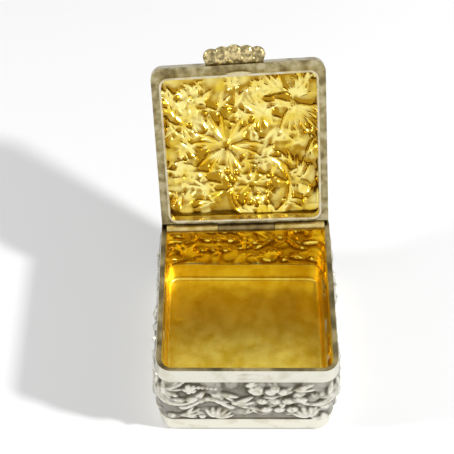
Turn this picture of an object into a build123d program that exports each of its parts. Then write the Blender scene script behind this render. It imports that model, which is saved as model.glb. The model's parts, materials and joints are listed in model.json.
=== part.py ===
"""A silver pill box: an embossed box with a plain rim, a hinged embossed lid and a cast thumb piece.

Millimetres. +Z is up, the front faces -Y, and the origin is the centre of the underside.
The lid is laid out shut, square on the box, and then turned about the hinge to its open rest place.
"""
from build123d import *
from math import cos, radians, sin, tan
import os

# Box as a whole, measured outside the rim
box_width = 30.0
box_depth = 33.3
box_height = 20.0
corner_radius = 2.6

# Foot: the flat floor plate and the plain band round it, which stands a hair clear of the table
pan_height = 4.6
pan_wall = 0.55
floor_thickness = 0.6
pan_edge_radius = 1.2
pan_inner_radius = 0.7
pan_flare = 0.3
foot_lift = 0.08

# Relief wall: the embossed strip between the foot band and the rim band
wall_thickness = 0.55
wall_foot_out = 0.1
wall_belly_out = 0.85
wall_belly_height = 12.6
wall_head_out = 0.15

# Rim band round the mouth
rim_band_height = 3.05
rim_flare = 0.3
rim_land_side = 0.85
rim_land_front = 0.65

# Hinge: its axis lies in the rim plane and runs a little out of square across the box
hinge_setback = 3.35
hinge_skew = 2.1
hinge_side_gap = 0.1
knuckle_radius = 0.82
pin_radius = 0.4
pin_fixed_clearance = 0.01
pin_running_clearance = 0.03
knuckle_end_gap = 0.12
running_clearance = 0.12
lid_knuckle_length = 10.0
lid_knuckle_offset = 0.1
deck_thickness = 1.3
deck_back_land = 0.85

# Lid
lid_height = 2.8
lid_side_reveal = 0.12
lid_corner_radius = 2.0
lid_edge_radius = 0.7
lid_sheet = 0.5
open_angle = 118.0
stop_gap = 0.05
seat_gap = 0.05
seat_width = 1.35
seat_thickness = 0.45
flange_thickness = 0.35
flange_drop = 1.2
flange_corner_radius = 1.6
bearer_width = 0.8
bearer_height = 1.3
tongue_height = 0.9

# Catch: a lens-shaped bead on the flange clicks past a lens-shaped pressing in the rim
catch_width = 4.7
catch_height = 1.6
catch_boss_height = 1.2
catch_drop = 1.5
catch_press = 0.22
catch_clearance = 0.06

# Thumb piece
thumb_width = 10.9
thumb_reach = 3.2
thumb_thickness = 1.5
thumb_offset = -0.5
thumb_lift = 0.5
thumb_lobes = 3
thumb_shoulder = 1.4

# Worked out from the sizes above
axis_y = box_depth / 2 - hinge_setback
axis_point = Vector(0, axis_y, box_height)
axis_direction = Vector(cos(radians(hinge_skew)), sin(radians(hinge_skew)), 0)
hinge_axis = Axis(axis_point, axis_direction)
hinge_plane = Plane(origin=axis_point, x_dir=axis_direction, z_dir=(0, 0, 1))
rim_base = box_height - rim_band_height
plate_inset = max(pan_edge_radius, pan_wall + pan_inner_radius) + pan_wall / 2
lid_width = box_width - 2 * lid_side_reveal
mouth_width = box_width - 2 * rim_land_side
mouth_front = -box_depth / 2 + rim_land_front
lid_back_gap = knuckle_radius + running_clearance
lean_angle = 180 - open_angle


def face_of(*edges):
    """One closed face from edges that meet end to end."""
    return make_face(Wire(edges).edges())


def ring(section, width, depth, radius):
    """Carry a wall section round a rectangle with rounded corners.

    The section's x runs outwards from the rectangle and its y runs up.
    """
    parts = []
    for quarter in range(4):
        half_side, reach = (width / 2, depth / 2) if quarter % 2 == 0 else (depth / 2, width / 2)
        start = Plane(origin=(half_side - radius, -reach, 0), x_dir=(0, -1, 0), z_dir=(-1, 0, 0))
        face = start * section
        centre = Axis((half_side - radius, radius - reach, 0), (0, 0, 1))
        run = extrude(face, amount=2 * (half_side - radius), dir=(-1, 0, 0))
        corner = revolve(face, centre, revolution_arc=90)
        parts += [Rot(0, 0, 90 * quarter) * run, Rot(0, 0, 90 * quarter) * corner]
    return Part() + parts


def tube(start, length, outer, inner):
    """A tube along the hinge, from a place measured along it from the middle."""
    base = Plane(origin=axis_point + axis_direction * start, z_dir=axis_direction)
    return extrude(base * (Circle(outer) - Circle(inner)), amount=length)


def rod(start, length, radius):
    """A solid rod along the hinge."""
    base = Plane(origin=axis_point + axis_direction * start, z_dir=axis_direction)
    return extrude(base * Circle(radius), amount=length)


def along_hinge(*points):
    """A long bar along the hinge, from its section: y back from the axis, z up from the rim plane."""
    length = 2 * box_width
    section = Plane(origin=axis_point - axis_direction * (length / 2), x_dir=hinge_plane.y_dir,
                    z_dir=axis_direction)
    return extrude(section * make_face(Polyline(*points, close=True)), amount=length)


def open_lid(part):
    """Turn a piece of the lid from shut to its open rest place."""
    return part.rotate(hinge_axis, -open_angle)


def barrel(width, height, rise):
    """A barrel along X whose crest stands a given rise above Y = 0 and cuts that plane in a lens."""
    crest_radius = ((height / 2) ** 2 + rise ** 2) / (2 * rise)
    bow_radius = ((width / 2) ** 2 + rise ** 2) / (2 * rise)
    half_length = width * 0.55
    axis_level = rise - crest_radius
    end_level = rise - bow_radius + (bow_radius ** 2 - half_length ** 2) ** 0.5
    section = face_of(
        ThreePointArc((-half_length, end_level), (0, rise), (half_length, end_level)),
        Line((half_length, end_level), (half_length, axis_level)),
        Line((half_length, axis_level), (-half_length, axis_level)),
        Line((-half_length, axis_level), (-half_length, end_level)),
    )
    return revolve(section, Axis((0, axis_level, 0), (1, 0, 0)))


def make_foot_band():
    """The plain band at the foot of the walls, with a rounded lower edge and a flange turned inwards."""
    turn = radians(45)
    edge_top = foot_lift + pan_edge_radius
    edge_mid = (-pan_edge_radius * (1 - sin(turn)), edge_top - pan_edge_radius * cos(turn))
    bend_x = -pan_wall - pan_inner_radius
    bend_z = floor_thickness + pan_inner_radius
    bend_mid = (bend_x + pan_inner_radius * cos(turn), bend_z - pan_inner_radius * sin(turn))
    section = face_of(
        ThreePointArc((-pan_edge_radius, foot_lift), edge_mid, (0, edge_top)),
        Line((0, edge_top), (pan_flare, pan_height)),
        Line((pan_flare, pan_height), (pan_flare - pan_wall, pan_height)),
        Line((pan_flare - pan_wall, pan_height), (-pan_wall, bend_z)),
        ThreePointArc((-pan_wall, bend_z), bend_mid, (bend_x, floor_thickness)),
        Line((bend_x, floor_thickness), (-plate_inset, floor_thickness)),
        Line((-plate_inset, floor_thickness), (-plate_inset, foot_lift)),
        Line((-plate_inset, foot_lift), (-pan_edge_radius, foot_lift)),
    )
    return ring(section, box_width, box_depth, corner_radius)


def make_base_plate():
    """The flat floor, soldered inside the foot band's flange, which the box stands on."""
    outline = RectangleRounded(box_width - 2 * plate_inset, box_depth - 2 * plate_inset,
                               corner_radius - plate_inset)
    return extrude(outline, amount=floor_thickness)


def make_relief_wall():
    """The embossed strip, bellied outwards, that stands on the foot band and carries the rim band."""
    foot = Vector(wall_foot_out, pan_height)
    belly = Vector(wall_belly_out, wall_belly_height)
    head = Vector(wall_head_out, rim_base)
    inwards = Vector(-wall_thickness, 0)
    section = face_of(
        TangentArc(belly, foot, tangent=(0, -1)),
        Line(foot, foot + inwards),
        TangentArc(belly + inwards, foot + inwards, tangent=(0, -1)),
        TangentArc(belly + inwards, head + inwards, tangent=(0, 1)),
        Line(head + inwards, head),
        TangentArc(belly, head, tangent=(0, 1)),
    )
    return ring(section, box_width, box_depth, corner_radius)


def mouth(low, high):
    """The mouth of the rim band as a block, between two heights."""
    mouth_back = box_depth / 2 - deck_back_land
    outline = RectangleRounded(mouth_width, mouth_back - mouth_front, corner_radius - rim_land_side)
    return extrude(Pos(0, (mouth_back + mouth_front) / 2, low) * outline, amount=high - low)


def make_rim_band():
    """The plain band round the mouth, with the catch pressed into its front."""
    inner = -max(rim_land_side, rim_land_front, deck_back_land) - wall_thickness
    section = face_of(*Polyline((0, box_height), (rim_flare, rim_base), (inner, rim_base),
                                (inner, box_height), close=True).edges())
    band = ring(section, box_width, box_depth, corner_radius) - mouth(rim_base, box_height)
    level = box_height - catch_drop
    press = barrel(catch_width, catch_height, catch_press)
    face_out = box_depth / 2 + rim_flare * catch_drop / rim_band_height
    hollow = Pos(0, -face_out, level) * press
    bump = Pos(0, mouth_front, level) * press
    inside = Pos(0, mouth_front, level) * Box(
        box_width, box_depth, rim_band_height, align=(Align.CENTER, Align.MIN, Align.CENTER))
    return band - hollow + (bump & inside)


def make_hinge_deck():
    """The plate in the back of the mouth, grooved along its front edge for the hinge tubes."""
    block = mouth(box_height - deck_thickness, box_height)
    behind = along_hinge((0, -2 * deck_thickness), (box_depth, -2 * deck_thickness), (box_depth, 1), (0, 1))
    plate = (block & behind) - rod(-box_width, 2 * box_width, knuckle_radius)
    groove_length = lid_knuckle_length + 2 * knuckle_end_gap
    groove_start = lid_knuckle_offset - groove_length / 2
    return plate - rod(groove_start, groove_length, knuckle_radius + running_clearance)


def lid_outline(inset, back):
    """The lid's outline, drawn in from its edges, ending a given distance in front of the hinge."""
    half = lid_width / 2 - inset
    front = -box_depth / 2 + inset
    rise = tan(radians(hinge_skew))
    back_y = axis_y - back / cos(radians(hinge_skew))
    outline = make_face(Polyline((-half, front), (half, front), (half, back_y + half * rise),
                                 (-half, back_y - half * rise), close=True))
    return outline


def rounded_front(outline, radius):
    """Round the two front corners of a lid outline."""
    corners = outline.vertices().sort_by(Axis.Y)[0:2]
    return fillet(corners, radius)


def lean_cut(offset):
    """What lies behind the leaning back of the lid, moved forward by an offset."""
    reach = 3 * lid_height
    lean = radians(lean_angle)
    start = -(stop_gap + offset) / sin(lean)
    return along_hinge((start, 0), (start - reach * cos(lean), reach * sin(lean)), (reach, reach), (reach, 0))


def bearer_bar():
    """The space of the bar along the back of the lid."""
    front = -lid_back_gap - bearer_width
    return along_hinge((front, seat_gap), (box_depth, seat_gap), (box_depth, seat_gap + bearer_height),
                       (front, seat_gap + bearer_height))


def make_lid_shell():
    """The embossed top with its sides turned down, leaning at the back so that it can open."""
    base = box_height + seat_gap + seat_thickness
    top = box_height + lid_height
    outline = rounded_front(lid_outline(0, lid_back_gap), lid_corner_radius)
    block = extrude(Pos(0, 0, base) * outline, amount=top - base)
    rim_edges = block.edges().group_by(Axis.Z)[-1].sort_by(Axis.Y)[:-1]
    block = fillet(rim_edges, lid_edge_radius) - lean_cut(0)
    inner = rounded_front(lid_outline(lid_sheet, lid_back_gap + lid_sheet), lid_corner_radius - lid_sheet)
    cavity = extrude(Pos(0, 0, base) * inner, amount=top - base - lid_sheet) - lean_cut(lid_sheet)
    return block - cavity - bearer_bar()


def flange_outline(inset):
    """The outline of the flange, or of its inner side."""
    back = lid_back_gap + bearer_width + inset
    outline = lid_outline(seat_width + inset, back)
    return fillet(outline.vertices(), flange_corner_radius - inset)


def make_lid_seat():
    """The flat ring, open at the back, that closes on the rim."""
    outline = rounded_front(lid_outline(0, lid_back_gap), lid_corner_radius)
    block = extrude(Pos(0, 0, box_height + seat_gap) * outline, amount=seat_thickness)
    hole = extrude(Pos(0, 0, box_height) * flange_outline(0), amount=2 * seat_thickness)
    return block - hole - bearer_bar()


def make_lid_flange():
    """The thin upright strip, soldered inside the seat, that drops into the mouth."""
    strip = flange_outline(0) - flange_outline(flange_thickness)
    return extrude(Pos(0, 0, box_height - flange_drop) * strip,
                   amount=flange_drop + seat_gap + seat_thickness)


def make_catch_boss():
    """The lens-shaped bead on the front of the flange."""
    rise = seat_width - rim_land_front - catch_press - catch_clearance
    bead = barrel(catch_width, catch_boss_height, rise)
    front = Box(box_width, box_depth, box_depth, align=(Align.CENTER, Align.MIN, Align.CENTER))
    place = Pos(0, -box_depth / 2 + seat_width, box_height - flange_drop / 2)
    return place * (Rot(0, 0, 180) * (bead & front))


def make_lid_bearer():
    """The bar along the back of the lid, with the tongue that holds the middle tube."""
    outline = lid_outline(0, lid_back_gap)
    bar = extrude(Pos(0, 0, box_height) * outline, amount=2 * bearer_height) & bearer_bar()
    wrap = radians(lean_angle)
    tongue = along_hinge((-lid_back_gap - bearer_width / 2, seat_gap), (0, seat_gap),
                         (0, knuckle_radius * sin(wrap)),
                         (-lid_back_gap - bearer_width / 2, knuckle_radius * sin(wrap)))
    start = lid_knuckle_offset - lid_knuckle_length / 2
    tongue = tongue & rod(start, lid_knuckle_length, 3 * knuckle_radius)
    return bar + tongue - rod(start, lid_knuckle_length, knuckle_radius)


def make_thumb_piece():
    """The cast lift at the front of the lid, with a lobed edge."""
    lobe_radius = thumb_width / (2 * thumb_lobes)
    web = thumb_reach - lobe_radius
    outline = Pos(0, -web / 2) * Rectangle(thumb_width, web)
    for lobe in range(thumb_lobes):
        across = (lobe - (thumb_lobes - 1) / 2) * 2 * lobe_radius
        outline += Pos(across, -web) * Circle(lobe_radius)
    behind = Pos(0, box_depth / 2) * Rectangle(box_width, box_depth)
    place = Pos(thumb_offset, -box_depth / 2, box_height + thumb_lift)
    return extrude(place * (outline - behind), amount=thumb_thickness)


lid_knuckle_start = lid_knuckle_offset - lid_knuckle_length / 2
lid_knuckle_end = lid_knuckle_start + lid_knuckle_length
hinge_half = mouth_width / 2 - hinge_side_gap
left_length = lid_knuckle_start - knuckle_end_gap + hinge_half
right_length = hinge_half - knuckle_end_gap - lid_knuckle_end
fixed_bore = pin_radius + pin_fixed_clearance
running_bore = pin_radius + pin_running_clearance

nodes = {
    "base_plate": make_base_plate(),
    "foot_band": make_foot_band(),
    "relief_wall": make_relief_wall(),
    "rim_band": make_rim_band(),
    "hinge_deck": make_hinge_deck(),
    "body_knuckle_left": tube(-hinge_half, left_length, knuckle_radius, fixed_bore),
    "body_knuckle_right": tube(hinge_half - right_length, right_length, knuckle_radius, fixed_bore),
    "hinge_pin": rod(-hinge_half, 2 * hinge_half, pin_radius),
    "lid_shell": open_lid(make_lid_shell()),
    "lid_seat": open_lid(make_lid_seat()),
    "lid_flange": open_lid(make_lid_flange()),
    "catch_boss": open_lid(make_catch_boss()),
    "lid_bearer": open_lid(make_lid_bearer()),
    "lid_knuckle": open_lid(tube(lid_knuckle_start, lid_knuckle_length, knuckle_radius, running_bore)),
    "thumb_piece": open_lid(make_thumb_piece()),
}

os.makedirs("parts", exist_ok=True)
for name, shape in nodes.items():
    export_step(shape, os.path.join("parts", name + ".step"))
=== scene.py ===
import json
import math
import random
import bpy
import numpy as np
from mathutils import Matrix, Vector


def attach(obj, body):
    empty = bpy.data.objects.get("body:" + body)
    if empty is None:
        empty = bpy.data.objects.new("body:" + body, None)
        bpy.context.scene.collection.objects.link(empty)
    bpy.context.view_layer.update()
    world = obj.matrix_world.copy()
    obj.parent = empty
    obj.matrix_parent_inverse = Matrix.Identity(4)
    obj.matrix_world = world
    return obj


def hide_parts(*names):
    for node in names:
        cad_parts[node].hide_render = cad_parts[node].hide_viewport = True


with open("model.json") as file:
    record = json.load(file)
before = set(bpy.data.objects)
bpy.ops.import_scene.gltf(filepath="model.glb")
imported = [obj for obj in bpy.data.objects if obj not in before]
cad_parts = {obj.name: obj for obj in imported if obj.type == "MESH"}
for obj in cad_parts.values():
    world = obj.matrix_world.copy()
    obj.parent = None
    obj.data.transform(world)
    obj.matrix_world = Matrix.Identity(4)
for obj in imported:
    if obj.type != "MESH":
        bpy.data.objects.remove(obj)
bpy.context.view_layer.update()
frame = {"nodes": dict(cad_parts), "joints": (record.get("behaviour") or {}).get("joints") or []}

mm = 0.001

# ---------------------------------------------------------------------------------------------
# The table the box stands on: a plain white sheet that takes the box's shadow, in a white room
# with two soft lamps. None of it is part of the box.
# ---------------------------------------------------------------------------------------------
scene = bpy.context.scene
scene.view_settings.view_transform = "Standard"
room_level = 0.42
sheet_colour = (0.86, 0.86, 0.865, 1)
sheet_lift = 0.085


def white_where_seen(nodes, links):
    """A value of 1 where the camera, a reflection or a view through glass sees the surface."""
    path = nodes.new("ShaderNodeLightPath")
    seen = nodes.new("ShaderNodeMath")
    seen.operation = "MAXIMUM"
    links.new(path.outputs["Is Camera Ray"], seen.inputs[0])
    links.new(path.outputs["Is Glossy Ray"], seen.inputs[1])
    through = nodes.new("ShaderNodeMath")
    through.operation = "MAXIMUM"
    links.new(seen.outputs[0], through.inputs[0])
    links.new(path.outputs["Is Transmission Ray"], through.inputs[1])
    return through.outputs[0]


world = bpy.data.worlds.new("room")
scene.world = world
world.use_nodes = True
room_nodes, room_links = world.node_tree.nodes, world.node_tree.links
room_light = room_nodes["Background"]
room_light.inputs["Color"].default_value = (1, 1, 1, 1)
room_strength = room_nodes.new("ShaderNodeMapRange")
room_strength.inputs["To Min"].default_value = room_level
room_strength.inputs["To Max"].default_value = 1
room_links.new(white_where_seen(room_nodes, room_links), room_strength.inputs["Value"])
room_links.new(room_strength.outputs["Result"], room_light.inputs["Strength"])

bpy.ops.object.select_all(action="DESELECT")
bpy.ops.mesh.primitive_plane_add(size=4, location=(0, 0, 0))
table = bpy.context.object
table.name = "table"
sheet = bpy.data.materials.new("white_sheet")
sheet.use_nodes = True
sheet_nodes, sheet_links = sheet.node_tree.nodes, sheet.node_tree.links
sheet_shader = sheet_nodes["Principled BSDF"]
sheet_shader.inputs["Base Color"].default_value = sheet_colour
sheet_shader.inputs["Roughness"].default_value = 0.8
sheet_shader.inputs["Emission Color"].default_value = (1, 1, 1, 1)
sheet_glow = sheet_nodes.new("ShaderNodeMapRange")
sheet_glow.inputs["To Max"].default_value = sheet_lift
sheet_links.new(white_where_seen(sheet_nodes, sheet_links), sheet_glow.inputs["Value"])
sheet_links.new(sheet_glow.outputs["Result"], sheet_shader.inputs["Emission Strength"])
table.data.materials.append(sheet)


def lamp(name, place, size, watts):
    """A square soft lamp that faces the box."""
    bpy.ops.object.light_add(type="AREA", location=place)
    light = bpy.context.object
    light.name = name
    light.data.size = size
    light.data.energy = watts
    light.rotation_euler = (-Vector(place)).to_track_quat("-Z", "Y").to_euler()


lamp("key_lamp", (0.42, -0.12, 0.34), 0.035, 2.5)
lamp("fill_lamp", (-0.42, -0.06, 0.22), 0.05, 0.9)

# ---------------------------------------------------------------------------------------------
# The camera: above and in front of the box, looking down into it as someone does who has just
# opened it and holds it at arm's length.
# ---------------------------------------------------------------------------------------------
camera_elevation = 51.54
camera_heading = 0.28
camera_roll = 0.33
camera_place = Vector((-3.96, -115.05, 181.63)) * mm
camera_lens = 91.4
bpy.ops.object.camera_add(location=camera_place)
camera = bpy.context.object
camera.data.sensor_width = 36
camera.data.lens = camera_lens
camera.data.clip_start = 0.005
turn = Matrix.Rotation(math.radians(-camera_heading), 4, "Z")
tilt = Matrix.Rotation(math.radians(90 - camera_elevation), 4, "X")
roll = Matrix.Rotation(math.radians(camera_roll), 4, "Z")
camera.matrix_world = Matrix.Translation(camera_place) @ turn @ tilt @ roll
scene.camera = camera

# ---------------------------------------------------------------------------------------------
# Base pan: a silver floor with a turned-up band, pressed as a shallow tray. It is polished
# outside and gilt inside, and the embossed wall is soldered on its edge.
# ---------------------------------------------------------------------------------------------
silver_bright = (0.76, 0.74, 0.64, 1)
silver_dull = (0.47, 0.44, 0.33, 1)
silver_worn = (0.66, 0.63, 0.51, 1)
gold_light = (0.96, 0.76, 0.13, 1)
gold_deep = (0.80, 0.56, 0.04, 1)


def ramp_of(nodes, links, factor, colours):
    """A colour ramp from dark to light through the given colours."""
    ramp = nodes.new("ShaderNodeValToRGB")
    ramp.color_ramp.elements[0].position = 0.36
    ramp.color_ramp.elements[1].position = 0.62
    ramp.color_ramp.elements[0].color = colours[0]
    ramp.color_ramp.elements[1].color = colours[-1]
    for step, colour in enumerate(colours[1:-1]):
        ramp.color_ramp.elements.new(0.36 + 0.26 * (step + 1) / (len(colours) - 1)).color = colour
    links.new(factor, ramp.inputs["Fac"])
    return ramp.outputs["Color"]


def compare(nodes, links, operation, first, second):
    """One Math node; each input is a socket or a number."""
    node = nodes.new("ShaderNodeMath")
    node.operation = operation
    for socket, value in zip(node.inputs, (first, second)):
        if isinstance(value, (int, float)):
            socket.default_value = value
        else:
            links.new(value, socket)
    return node.outputs[0]


def mixed(nodes, links, factor, first, second):
    """One colour laid over another by a factor."""
    blend = nodes.new("ShaderNodeMix")
    blend.data_type = "RGBA"
    links.new(factor, blend.inputs["Factor"])
    for name, value in (("A", first), ("B", second)):
        if isinstance(value, tuple):
            blend.inputs[name].default_value = value
        else:
            links.new(value, blend.inputs[name])
    return blend.outputs["Result"]


def metal(name, colours, patch_size, roughness, grain, dent, recess=None, within=None, crown=None):
    """Metal mottled by patches of its colours, with fine scratches and soft dents.

    recess = (colour, low, high) darkens by the piece's own lift attribute: painted shade in the
    hollows, with the oxide there on silver. within = (colours, base z) recolours what faces into the
    box above a height. crown = (colours, z) recolours what lies above a height.
    """
    made = bpy.data.materials.new(name)
    made.use_nodes = True
    nodes, links = made.node_tree.nodes, made.node_tree.links
    shader = nodes["Principled BSDF"]
    shader.inputs["Metallic"].default_value = 1
    texture = nodes.new("ShaderNodeTexCoord")
    place = texture.outputs["Object"]
    patches = nodes.new("ShaderNodeTexNoise")
    patches.inputs["Scale"].default_value = 1 / (patch_size * mm)
    patches.inputs["Detail"].default_value = 5
    links.new(place, patches.inputs["Vector"])
    colour = ramp_of(nodes, links, patches.outputs["Fac"], colours)
    parts = nodes.new("ShaderNodeSeparateXYZ")
    links.new(place, parts.inputs["Vector"])
    if within:
        facing = nodes.new("ShaderNodeSeparateXYZ")
        links.new(texture.outputs["Normal"], facing.inputs["Vector"])
        outward = compare(nodes, links, "ADD",
                          compare(nodes, links, "MULTIPLY", parts.outputs["X"], facing.outputs["X"]),
                          compare(nodes, links, "MULTIPLY", parts.outputs["Y"], facing.outputs["Y"]))
        turned_in = compare(nodes, links, "LESS_THAN", outward, -8 * mm)
        floor = compare(nodes, links, "MULTIPLY",
                        compare(nodes, links, "GREATER_THAN", facing.outputs["Z"], 0.5),
                        compare(nodes, links, "LESS_THAN", parts.outputs["Z"], 3 * mm))
        above = compare(nodes, links, "GREATER_THAN", parts.outputs["Z"], within[1] * mm)
        lining = compare(nodes, links, "MAXIMUM", turned_in, floor)
        inside = compare(nodes, links, "MULTIPLY", lining, above)
        colour = mixed(nodes, links, inside, colour,
                       ramp_of(nodes, links, patches.outputs["Fac"], within[0]))
    if crown:
        above = compare(nodes, links, "GREATER_THAN", parts.outputs["Z"], crown[1] * mm)
        colour = mixed(nodes, links, above, colour,
                       ramp_of(nodes, links, patches.outputs["Fac"], crown[0]))
    if recess:
        lift = nodes.new("ShaderNodeAttribute")
        lift.attribute_name = "lift"
        depth = nodes.new("ShaderNodeMapRange")
        depth.inputs["From Min"].default_value = recess[1]
        depth.inputs["From Max"].default_value = recess[2]
        links.new(lift.outputs["Fac"], depth.inputs["Value"])
        colour = mixed(nodes, links, depth.outputs["Result"], recess[0], colour)
    links.new(colour, shader.inputs["Base Color"])
    scratches = nodes.new("ShaderNodeTexNoise")
    scratches.inputs["Scale"].default_value = 1 / (0.35 * mm)
    scratches.inputs["Detail"].default_value = 8
    links.new(place, scratches.inputs["Vector"])
    rough = nodes.new("ShaderNodeMapRange")
    rough.inputs["To Min"].default_value = roughness[0]
    rough.inputs["To Max"].default_value = roughness[1]
    links.new(scratches.outputs["Fac"], rough.inputs["Value"])
    links.new(rough.outputs["Result"], shader.inputs["Roughness"])
    dents = nodes.new("ShaderNodeTexNoise")
    dents.inputs["Scale"].default_value = 1 / (dent[1] * mm)
    dents.inputs["Detail"].default_value = 3
    links.new(place, dents.inputs["Vector"])
    wave = nodes.new("ShaderNodeBump")
    wave.inputs["Strength"].default_value = 1
    wave.inputs["Distance"].default_value = dent[0] * mm
    links.new(dents.outputs["Fac"], wave.inputs["Height"])
    fine = nodes.new("ShaderNodeBump")
    fine.inputs["Strength"].default_value = 1
    fine.inputs["Distance"].default_value = grain * mm
    links.new(scratches.outputs["Fac"], fine.inputs["Height"])
    links.new(wave.outputs["Normal"], fine.inputs["Normal"])
    links.new(fine.outputs["Normal"], shader.inputs["Normal"])
    return made


def finish_node(node, material):
    """Put a finish on a CAD node."""
    held = frame["nodes"][node]
    if not held.material_slots:
        held.data.materials.append(material)
    for place in held.material_slots:
        place.material = material


pan_metal = metal("pan_metal", (silver_worn, silver_bright, silver_bright), 2.5, (0.26, 0.42), 0.001,
                  (0.10, 4), within=((gold_deep, gold_light), 0.3))
for node in ("base_plate", "foot_band"):
    finish_node(node, pan_metal)

# ---------------------------------------------------------------------------------------------
# Rim band: a plain silver band round the mouth, worn bright outside, gilt inside, and tarnished
# olive on the flat edge where the lid closes.
# ---------------------------------------------------------------------------------------------
olive = (0.36, 0.295, 0.14, 1)
olive_dark = (0.21, 0.165, 0.075, 1)
olive_pale = (0.52, 0.46, 0.28, 1)
land_grime = (0.10, 0.08, 0.035, 1)
rim_half_x, rim_half_y, rim_top = 15.0, 16.65, 20.0
rim_metal = metal("rim_metal", (silver_worn, silver_bright, silver_bright), 3.0, (0.16, 0.30), 0.002,
                  (0.08, 2.2), within=((gold_deep, gold_light), 0),
                  crown=((land_grime, olive_dark, olive), rim_top - 0.04))
finish_node("rim_band", rim_metal)

# ---------------------------------------------------------------------------------------------
# Relief wall: one strip of thin silver sheet, embossed from the back with scrolls, flowers and
# leaves, darkened in the hollows by oxide and painted shade, gilt inside, bent round the four corners and
# soldered.
# ---------------------------------------------------------------------------------------------
# Dark of the silver hollows: oxide there, deepened as painted shade.
oxide_and_shade_dark = (0.085, 0.075, 0.05, 1)
# Painted shade laid in the hollows of the gilt relief.
painted_gilt_shade = (0.42, 0.23, 0.012, 1)
sheet_metal = 0.34
die_edge = 8
# How far round each point the painted shade and dirt of the hollows are measured, in millimetres.
dirt_and_shade_reach = 0.7
die_parts = []
bpy.ops.object.select_all(action="DESELECT")
bpy.ops.mesh.primitive_uv_sphere_add(segments=20, ring_count=12, radius=1)
drop = bpy.context.object
drop_mesh = drop.data
bpy.data.objects.remove(drop)


def stamp(x, y, turn, length, width, height):
    """One smooth swelling on the die, in millimetres: its centre, its direction and its size."""
    part = bpy.data.objects.new("die", drop_mesh)
    scene.collection.objects.link(part)
    part.matrix_world = (Matrix.Translation((x * mm, y * mm, 0))
                         @ Matrix.Rotation(math.radians(turn), 4, "Z")
                         @ Matrix.Diagonal((length / 2 * mm, width / 2 * mm, height * mm, 1)))
    die_parts.append(part)


def petal(x, y, turn, length, width, height):
    """A creased petal or leaf lobe that starts at a point: two swellings side by side."""
    for side in (-1, 1):
        lean = math.radians(turn + 9 * side)
        middle = (x + math.cos(lean) * length * 0.52, y + math.sin(lean) * length * 0.52)
        stamp(*middle, turn + 12 * side, length, width * 0.58, height)


def blossom(x, y, radius, petals, turn, height=0.6):
    """A round flower: creased petals about a ringed eye."""
    for step in range(petals):
        petal(x, y, turn + 360 / petals * step, radius, radius * 1.05, height)
    stamp(x, y, 0, radius * 0.62, radius * 0.62, height * 1.35)


def star_lily(x, y, radius, turn, height=0.75):
    """A lily seen from above: six long pointed petals over six short ones, and stamens."""
    for step in range(6):
        petal(x, y, turn + 60 * step + 30, radius * 0.7, radius * 0.34, height * 0.6)
        petal(x, y, turn + 60 * step, radius, radius * 0.4, height)
    for step in range(5):
        around = math.radians(turn + 72 * step)
        bead(x + math.cos(around) * radius * 0.17, y + math.sin(around) * radius * 0.17,
             0.42, height * 1.25)


def bead(x, y, size, height=0.5):
    """A round bead."""
    stamp(x, y, 0, size, size, height)


def bead_row(x, y, turn, count, size, height=0.45):
    """A row of beads from a point."""
    for step in range(count):
        reach = step * size * 0.95
        bead(x + math.cos(math.radians(turn)) * reach, y + math.sin(math.radians(turn)) * reach,
             size * (1 - 0.04 * step), height)


def fan(x, y, turn, radius, ribs, spread, height=0.6):
    """A shell or fan leaf: long swellings side by side from one root."""
    for step in range(ribs):
        lean = turn + spread * (step / (ribs - 1) - 0.5)
        size = radius * (1 - 0.25 * abs(step / (ribs - 1) - 0.5))
        middle = (x + math.cos(math.radians(lean)) * size / 2, y + math.sin(math.radians(lean)) * size / 2)
        stamp(*middle, lean, size, radius * 1.5 / ribs, height)


def scroll(x, y, turn, size, sweep, height=0.55, flip=1, thick=0.26):
    """A C scroll: a chain of swellings that winds in to a ball and swells as it goes."""
    steps = int(abs(sweep) / 14)
    heading = math.radians(turn)
    for step in range(steps):
        share = step / steps
        reach = size * (1 - 0.82 * share) * 0.245
        heading += math.radians(14) * flip
        x += math.cos(heading) * reach
        y += math.sin(heading) * reach
        stamp(x, y, math.degrees(heading), reach * 3.2, size * thick * (1 - 0.45 * share), height)
    bead(x, y, size * 0.34, height * 1.2)


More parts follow.
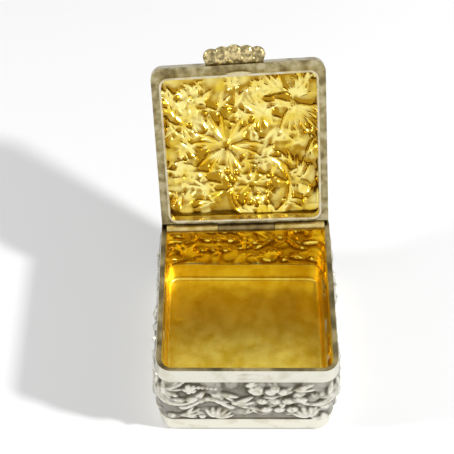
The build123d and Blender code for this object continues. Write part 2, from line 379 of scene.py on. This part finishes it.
def die_done(name, low, high, spacing, smooth):
    """Press a sheet over the die and give back the embossed sheet.

    The corners low and high are in millimetres; the sheet lies on z = 0 where nothing is under it.
    The lift attribute runs from 0 in a hollow, which holds dirt and painted shade, to 1 on a crown that is
    rubbed bright.
    """
    bpy.ops.object.select_all(action="DESELECT")
    centre = ((low[0] + high[0]) / 2 * mm, (low[1] + high[1]) / 2 * mm, 0)
    bpy.ops.mesh.primitive_plane_add(size=1, location=centre)
    ground = bpy.context.object
    ground.scale = ((high[0] - low[0] + die_edge) * mm, (high[1] - low[1] + die_edge) * mm, 1)
    for part in die_parts:
        part.select_set(True)
        part.data = part.data.copy()
    ground.select_set(True)
    bpy.context.view_layer.objects.active = ground
    bpy.ops.object.join()
    bpy.ops.object.transform_apply(location=True, rotation=True, scale=True)
    die_parts.clear()
    bpy.ops.object.select_all(action="DESELECT")
    columns = round((high[0] - low[0]) / spacing)
    rows = round((high[1] - low[1]) / spacing)
    bpy.ops.mesh.primitive_grid_add(x_subdivisions=columns, y_subdivisions=rows, size=1,
                                    location=(centre[0], centre[1], 5 * mm))
    pressed = bpy.context.object
    pressed.name = name
    pressed.scale = ((high[0] - low[0]) * mm, (high[1] - low[1]) * mm, 1)
    bpy.ops.object.transform_apply(location=True, rotation=True, scale=True)
    press = pressed.modifiers.new("press", "SHRINKWRAP")
    press.wrap_method = "PROJECT"
    press.use_project_z = True
    press.use_negative_direction = True
    press.use_positive_direction = False
    press.target = ground
    soften = pressed.modifiers.new("soften", "SMOOTH")
    soften.factor = 0.5
    soften.iterations = smooth
    soften.use_x = False
    soften.use_y = False
    for step in ("press", "soften"):
        bpy.ops.object.modifier_apply(modifier=step)
    bpy.data.objects.remove(ground)
    heights = np.array([v.co.z / mm for v in pressed.data.vertices]).reshape(rows + 1, columns + 1)
    reach = round(dirt_and_shade_reach / spacing)
    around = np.pad(heights, reach, mode="edge")
    for axis in (0, 1):
        around = sum(np.roll(around, step, axis) for step in range(-reach, reach + 1)) / (2 * reach + 1)
    around = around[reach:-reach, reach:-reach]
    # Painted shade with dirt: a point below the mean height around it comes out dark, a crown light.
    wear_and_shade = 0.2 + 2.6 * (heights - around) + 0.9 * np.minimum(heights, 0.5)
    lift = pressed.data.attributes.new("lift", "FLOAT", "POINT")
    lift.data.foreach_set("value", np.clip(wear_and_shade, 0, 1).ravel())
    return pressed


def thicken(piece):
    """Give an embossed sheet its thickness, with the second material on its other side."""
    bpy.context.view_layer.objects.active = piece
    wall = piece.modifiers.new("wall", "SOLIDIFY")
    wall.thickness = sheet_metal * mm
    wall.offset = -1
    wall.material_offset = 1
    wall.material_offset_rim = 0
    bpy.ops.object.modifier_apply(modifier="wall")
    bpy.ops.object.shade_smooth()


wall_low, wall_high = 4.6, 16.95
belly_height = 12.6
foot_out, belly_out, head_out = 0.1, 0.5, 0.05
plan_radius = 2.6
straight_x, straight_y = 2 * (rim_half_x - plan_radius), 2 * (rim_half_y - plan_radius)
quarter_turn = math.pi / 2 * plan_radius
wall_length = 2 * (straight_x + straight_y) + 4 * quarter_turn


def frieze(start, length, seed):
    """The ornament of one side: a corner scroll bundle, flowers, an S leaf, cups and a shell."""
    random.seed(seed)
    middle = (wall_low + wall_high) / 2
    end = start + length
    for step in range(3):
        scroll(start - 0.6 + 0.5 * step, wall_high - 0.8 - 0.9 * step, -112 + 8 * step, 5.2 - 0.5 * step,
               190, 0.62 - 0.06 * step, 1, 0.16)
        scroll(end + 0.6 - 0.5 * step, wall_high - 0.8 - 0.9 * step, -68 - 8 * step, 5.2 - 0.5 * step,
               190, 0.62 - 0.06 * step, -1, 0.16)
    blossom(start + length * 0.17, wall_high - 2.0, 1.25, 5, 10 * seed, 0.55)
    bead_row(start + length * 0.22, wall_high - 1.5, -6, 5, 0.75)
    for step in range(9):
        share = step / 8
        stamp(start + length * (0.14 + 0.26 * share), middle + 1.5 * math.sin(share * 5.2 - 1.2),
              50 * math.cos(share * 5.2 - 1.2), 2.4, 1.25 - 0.5 * abs(share - 0.5), 0.62)
    fan(start + length * 0.31, wall_low + 0.7, 65, 4.2, 6, 95, 0.6)
    petal(start + length * 0.40, middle - 0.4, 20, 4.6, 1.9, 0.65)
    petal(start + length * 0.40, middle + 0.6, -24, 4.2, 1.7, 0.6)
    for row in range(3):
        for step in range(3):
            x = start + length * (0.56 + 0.075 * step + 0.03 * row)
            y = wall_high - 2.6 - 2.9 * row
            stamp(x, y, random.uniform(-25, 25), 2.3, 1.75, 0.68)
            stamp(x, y + 0.5, 0, 1.0, 0.7, 0.95)
    blossom(start + length * 0.55, wall_high - 2.1, 1.35, 6, 15, 0.6)
    bead(start + length * 0.66, wall_high - 1.8, 1.9, 0.7)
    petal(start + length * 0.76, wall_high - 2.2, 14, 4.0, 1.5, 0.6)
    fan(start + length * 0.88, wall_low + 0.8, 110, 4.4, 5, 80, 0.62)
    petal(start + length * 0.10, wall_low + 1.4, 25, 3.6, 1.5, 0.6)
    bead(start + length * 0.06, wall_low + 1.6, 1.3, 0.6)
    bead(start + length * 0.24, wall_low + 1.3, 1.4, 0.6)
    for step in range(26):
        stamp(start + random.uniform(0, 1) * length, random.uniform(wall_low, wall_high),
              random.uniform(0, 180), random.uniform(3, 6), random.uniform(1.8, 3),
              random.uniform(0.14, 0.26))
    for step in range(46):
        petal(start + random.uniform(0, 1) * length, random.uniform(wall_low + 0.8, wall_high - 1),
              random.uniform(0, 360), random.uniform(2.2, 4.0), random.uniform(1.0, 1.7),
              random.uniform(0.3, 0.5))


side_start = straight_x / 2 + quarter_turn / 2
for seed, (begin, run) in enumerate((
        (side_start, straight_y + quarter_turn),
        (side_start + straight_y + quarter_turn, straight_x + quarter_turn),
        (side_start + straight_y + straight_x + 2 * quarter_turn, straight_y + quarter_turn),
        (side_start + 2 * straight_y + straight_x + 3 * quarter_turn, straight_x + quarter_turn))):
    frieze(begin, run, seed + 3)
    if begin + run > wall_length:
        frieze(begin - wall_length, run, seed + 3)
wall = die_done("embossed_wall", (0, wall_low), (wall_length, wall_high), 0.18, 3)
# Both sides are darkened in the hollows by the lift attribute: painted shade, with oxide on the silver.
wall_silver = metal("wall_silver", (silver_dull, silver_bright, silver_bright), 1.6, (0.16, 0.32), 0.004,
                    (0.02, 1.2), recess=(oxide_and_shade_dark, 0.0, 0.85))
wall_gold = metal("wall_gold", (gold_deep, gold_light), 3.5, (0.12, 0.28), 0.002, (0.05, 2),
                  recess=(painted_gilt_shade, 0.0, 0.55))
wall.data.materials.append(wall_silver)
wall.data.materials.append(wall_gold)


def round_the_plan(distance, outwards):
    """A point of the box's outline, starting from the middle of the back, and pushed outwards."""
    stretches = ((straight_x / 2, 180), (straight_y, 270), (straight_x, 0), (straight_y, 90),
                 (straight_x / 2, 180))
    x, y = 0.0, rim_half_y
    for index, (run, heading) in enumerate(stretches):
        way = Vector((math.cos(math.radians(heading)), math.sin(math.radians(heading))))
        out = Vector((way.y, -way.x))
        if distance <= run or index == len(stretches) - 1:
            return Vector((x, y)) + way * distance + out * outwards
        x, y = x + way.x * run, y + way.y * run
        distance -= run
        centre = Vector((x, y)) - out * plan_radius
        if distance <= quarter_turn:
            swing = Matrix.Rotation(distance / plan_radius, 2)
            return centre + (swing @ out) * (plan_radius + outwards)
        distance -= quarter_turn
        end = centre + (Matrix.Rotation(math.pi / 2, 2) @ out) * plan_radius
        x, y = end.x, end.y


for vertex in wall.data.vertices:
    along, height, lift = vertex.co / mm
    lift *= min(1, along / 0.5, (wall_length - along) / 0.5)
    if height < belly_height:
        share = (belly_height - height) / (belly_height - wall_low)
        swell = belly_out + (foot_out - belly_out) * share * share
    else:
        share = (height - belly_height) / (wall_high - belly_height)
        swell = belly_out + (head_out - belly_out) * share * share
    spot = round_the_plan(along, swell + lift)
    vertex.co = Vector((spot.x, spot.y, height)) * mm
bpy.context.view_layer.objects.active = wall
bpy.ops.object.select_all(action="DESELECT")
wall.select_set(True)
bpy.ops.object.mode_set(mode="EDIT")
bpy.ops.mesh.select_all(action="SELECT")
bpy.ops.mesh.remove_doubles(threshold=0.01 * mm)
bpy.ops.mesh.normals_make_consistent(inside=False)
bpy.ops.object.mode_set(mode="OBJECT")
thicken(wall)
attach(wall, "body")
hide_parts("relief_wall")

# ---------------------------------------------------------------------------------------------
# Hinge: a flat plate in the back of the mouth, two fixed tubes with worn gilding, and the lid's
# darker tube between them on its bar. One pin runs through the three, and all is soldered.
# ---------------------------------------------------------------------------------------------
tarnished = metal("tarnished", (olive_dark, olive, olive_pale), 1.6, (0.26, 0.5), 0.006, (0.05, 1.5))
gilt_worn, gilt_pale = (0.44, 0.31, 0.07, 1), (0.66, 0.53, 0.22, 1)
brown_dark, brown = (0.15, 0.10, 0.04, 1), (0.30, 0.22, 0.09, 1)
tube_metal = metal("tube_metal", (gilt_worn, gilt_pale), 1.4, (0.24, 0.42), 0.005, (0.03, 1.5))
lid_tube_metal = metal("lid_tube_metal", (brown_dark, brown), 1.6, (0.22, 0.42), 0.005, (0.03, 1.5))
for node in ("hinge_deck", "lid_bearer"):
    finish_node(node, tarnished)
for node in ("body_knuckle_left", "body_knuckle_right"):
    finish_node(node, tube_metal)
for node in ("lid_knuckle", "hinge_pin"):
    finish_node(node, lid_tube_metal)

# ---------------------------------------------------------------------------------------------
# Lid seat and flange: a flat silver ring soldered inside the lid, which closes on the rim, and a
# thin bright strip standing on its inner edge, with the bead that catches in the rim's socket.
# ---------------------------------------------------------------------------------------------
finish_node("lid_seat", tarnished)
brass, pale_brass = (0.70, 0.60, 0.36, 1), (0.72, 0.67, 0.52, 1)
flange_metal = metal("flange_metal", (olive_pale, brass, pale_brass), 2.2, (0.14, 0.3), 0.004, (0.06, 2))
for node in ("lid_flange", "catch_boss"):
    finish_node(node, flange_metal)

# ---------------------------------------------------------------------------------------------
# Lid: the top embossed from thin sheet, silver outside and gilt inside, soldered in plain
# turned-down sides. It is laid out shut and then turned about the hinge to where it rests open.
# ---------------------------------------------------------------------------------------------
hinge = frame["joints"][0]
hinge_place = Vector(hinge["pos_m"])
open_angle = math.radians(-hinge["range_deg"][0])
about_hinge = Matrix.Rotation(open_angle, 4, Vector(hinge["axis"]))
open_lid = Matrix.Translation(hinge_place) @ about_hinge @ Matrix.Translation(-hinge_place)

lid_half_x = 14.88
lid_front = -rim_half_y
lid_back_gap = 1.75
lid_back = hinge_place.y / mm - lid_back_gap
hinge_slope = hinge["axis"][1] / hinge["axis"][0]
lid_height, ground_drop = 2.8, 0.5
lid_top = rim_top + lid_height
border = 0.4
corner = 1.6
field = ((-lid_half_x + border, lid_front + border), (lid_half_x - border, lid_back))
blossom(-8.4, -10.2, 3.1, 5, 8, 0.95)
blossom(-10.3, 4.3, 2.3, 5, 20, 0.6)
blossom(3.4, -11.6, 2.1, 6, 0, 0.6)
blossom(-1.2, -12.9, 1.7, 5, 30, 0.55)
star_lily(-2.6, -1.6, 6.6, 12, 1.1)
star_lily(1.6, 6.0, 4.6, 38, 0.95)
fan(8.9, -8.4, 62, 6.6, 7, 100, 1.0)
fan(9.8, -9.6, -78, 3.8, 6, 120, 0.6)
fan(-8.2, 2.4, 150, 3.6, 5, 95, 0.6)
scroll(5.0, 1.0, 20, 6.6, 520, 0.95, 1, 0.2)
scroll(-12.3, -6.2, 80, 4.6, 300, 0.6, -1, 0.22)
scroll(11.9, 2.6, 95, 4.2, 300, 0.6, 1, 0.22)
bead(10.6, 6.9, 3.4, 0.95)
for step in range(5):
    bead(-6.9 + 0.2 * step, -13.4 + 0.9 * (step % 2), 0.95, 0.5)
    bead(12.3, -3.8 + 1.05 * step, 0.95, 0.5)
for step in range(14):
    share = step / 13
    stamp(-13 + 14 * share, -6.9 + 1.5 * math.sin(share * 9), 40 * math.cos(share * 9), 1.9, 1.05, 0.6)
for x, y, turn_to, length in ((5.2, -6.3, 200, 5.6), (6.0, -4.6, 30, 5.2), (-5.6, 6.9, 205, 5.0),
                              (-11.6, 0.2, 60, 4.4), (-4.8, 9.2, 175, 4.2), (6.4, 8.9, 15, 4.4),
                              (-0.4, -8.6, 80, 3.6), (12.2, -13.6, 110, 3.6), (-12.6, -13.2, 70, 3.4)):
    petal(x, y, turn_to, length, length * 0.42, 0.68)
filler_half_x = 13
filler_front, filler_back = lid_front + 1.6, lid_back - 1.4
random.seed(21)
for step in range(70):
    stamp(random.uniform(-14, 14), random.uniform(lid_front, lid_back), random.uniform(0, 180),
          random.uniform(4, 8), random.uniform(2.2, 4.2), random.uniform(0.18, 0.34))
for step in range(130):
    petal(random.uniform(-filler_half_x, filler_half_x), random.uniform(filler_front, filler_back),
          random.uniform(0, 360), random.uniform(2.6, 5.2), random.uniform(1.3, 2.3),
          random.uniform(0.35, 0.75))
for step in range(26):
    bead(random.uniform(-filler_half_x, filler_half_x), random.uniform(filler_front, filler_back),
         random.uniform(0.7, 1.3), random.uniform(0.6, 0.8))
lid_sheet = die_done("embossed_lid", *field, 0.15, 3)
# Both sides are darkened in the hollows by the lift attribute: painted shade, with oxide on the silver.
lid_silver = metal("lid_silver", (silver_dull, silver_bright, silver_bright), 1.6, (0.16, 0.32), 0.004,
                   (0.02, 1.2), recess=(oxide_and_shade_dark, 0.0, 0.85))
lid_gold_deep, lid_gold_pale = (0.86, 0.62, 0.06, 1), (1.0, 0.87, 0.30, 1)
lid_gold = metal("lid_gold", (lid_gold_deep, lid_gold_pale), 2.8, (0.12, 0.26), 0.002,
                 (0.05, 1.6), recess=(painted_gilt_shade, 0.0, 0.62))
lid_side_gold = metal("lid_side_gold", (gold_deep, gold_light), 2.8, (0.14, 0.3), 0.003, (0.05, 1.6))
lid_sheet.data.materials.append(lid_silver)
lid_sheet.data.materials.append(lid_gold)
ground_level = lid_top - ground_drop
edge_fade, back_fade = 1.3, 1.4
for vertex in lid_sheet.data.vertices:
    x, y, lift = vertex.co / mm
    reach = (y - lid_front) / (lid_back - lid_front)
    edge = min(1, (field[1][0] - abs(x)) / edge_fade, (y - field[0][1]) / edge_fade,
               (lid_back - y) / back_fade)
    lift *= max(0, edge)
    across = (abs(x) - field[1][0]) / corner + 1
    down = (field[0][1] - y) / corner + 1
    if across > 0 and down > 0:
        shrink = max(across, down) / math.hypot(across, down)
        x = math.copysign(field[1][0] + (across * shrink - 1) * corner, x)
        y = field[0][1] - (down * shrink - 1) * corner
    vertex.co = Vector((x, y + x * hinge_slope * reach, ground_level + lift)) * mm
thicken(lid_sheet)
lid_sheet.data.transform(open_lid)
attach(lid_sheet, "lid")

sides_mesh = frame["nodes"]["lid_shell"].data.copy()
sides = bpy.data.objects.new("lid_sides", sides_mesh)
scene.collection.objects.link(sides)
sides_mesh.transform(open_lid.inverted())
bpy.ops.object.select_all(action="DESELECT")
sides.select_set(True)
bpy.context.view_layer.objects.active = sides
bpy.ops.object.mode_set(mode="EDIT")
bpy.ops.mesh.select_all(action="SELECT")
bpy.ops.mesh.remove_doubles(threshold=0.002 * mm)
bpy.ops.mesh.select_all(action="DESELECT")
bpy.ops.object.mode_set(mode="OBJECT")
for flat in sides_mesh.polygons:
    flat.select = abs(flat.normal.z) > 0.999 and flat.center.z > (lid_top - ground_drop - 0.1) * mm
bpy.ops.object.mode_set(mode="EDIT")
bpy.ops.mesh.select_mode(type="FACE")
bpy.ops.mesh.delete(type="FACE")
bpy.ops.mesh.select_all(action="DESELECT")
bpy.ops.mesh.select_mode(type="EDGE")
bpy.ops.mesh.select_non_manifold(extend=False, use_wire=False, use_boundary=True,
                                 use_multi_face=False, use_non_contiguous=False, use_verts=False)
bpy.ops.mesh.bridge_edge_loops()
bpy.ops.mesh.select_all(action="SELECT")
bpy.ops.mesh.normals_make_consistent(inside=False)
bpy.ops.object.mode_set(mode="OBJECT")
bpy.ops.object.shade_smooth_by_angle(angle=math.radians(35))
sides_mesh.materials.clear()
sides_mesh.materials.append(metal("side_metal", (olive_dark, olive, olive_pale, silver_dull), 1.8,
                                  (0.2, 0.42), 0.006, (0.06, 1.6)))
sides_mesh.materials.append(lid_side_gold)
for flat in sides_mesh.polygons:
    middle = flat.center / mm
    inward = Vector((-middle.x, -middle.y - 2)).normalized()
    deep = (abs(middle.x) < lid_half_x - 0.3 and middle.y > lid_front + 0.3
            and middle.z < ground_level - 0.02)
    flat.material_index = int(deep and flat.normal.xy.dot(inward) > 0.3)
sides_mesh.transform(open_lid)
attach(sides, "lid")
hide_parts("lid_shell")

# ---------------------------------------------------------------------------------------------
# Thumb piece: a small cluster of leaf lobes, cast in silver and soldered to the front of the
# lid, for a fingernail to lift it by.
# ---------------------------------------------------------------------------------------------
thumb_middle, thumb_root = -0.5, lid_front
thumb_low = rim_top + 0.5
thumb_width, thumb_reach, thumb_thickness = 10.0, 1.8, 1.1
bpy.ops.object.select_all(action="DESELECT")
bpy.ops.mesh.primitive_cube_add(size=1, location=(thumb_middle * mm, (thumb_root - thumb_reach / 2) * mm,
                                                  (thumb_low + 0.65) * mm))
thumb = bpy.context.object
thumb.name = "thumb_leaves"
thumb.scale = (thumb_width * mm, thumb_reach * mm, thumb_thickness * mm)
bpy.ops.object.transform_apply(location=True, rotation=True, scale=True)
for across, out, size, height in ((-3.9, -1.3, 2.9, 1.7), (-2.0, -1.55, 3.0, 1.9), (0.0, -1.6, 3.3, 2.2),
                                  (2.0, -1.55, 3.0, 1.9), (3.9, -1.3, 2.9, 1.7), (-3.0, -0.7, 1.6, 2.2),
                                  (-1.0, -0.8, 1.5, 2.4), (1.0, -0.8, 1.5, 2.4), (3.0, -0.7, 1.6, 2.2)):
    bpy.ops.mesh.primitive_uv_sphere_add(segments=24, ring_count=14, radius=0.5, location=(
        (thumb_middle + across) * mm, (thumb_root + out) * mm, (thumb_low + 0.75) * mm))
    lobe = bpy.context.object
    lobe.scale = (size * mm, size * mm, height * 0.8 * mm)
    thumb.select_set(True)
    bpy.context.view_layer.objects.active = thumb
    bpy.ops.object.join()
bpy.ops.object.transform_apply(location=True, rotation=True, scale=True)
cast = thumb.modifiers.new("cast", "REMESH")
cast.mode = "VOXEL"
cast.voxel_size = 0.11 * mm
bpy.ops.object.modifier_apply(modifier="cast")
soften = thumb.modifiers.new("soften", "SMOOTH")
soften.iterations = 14
bpy.ops.object.modifier_apply(modifier="soften")
bpy.ops.object.shade_smooth()
thumb.data.materials.append(metal("cast_metal", (olive_dark, olive, (0.78, 0.62, 0.30, 1)), 0.7,
                                  (0.18, 0.36), 0.006, (0.14, 0.9)))
thumb.data.transform(open_lid)
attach(thumb, "lid")
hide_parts("thumb_piece")
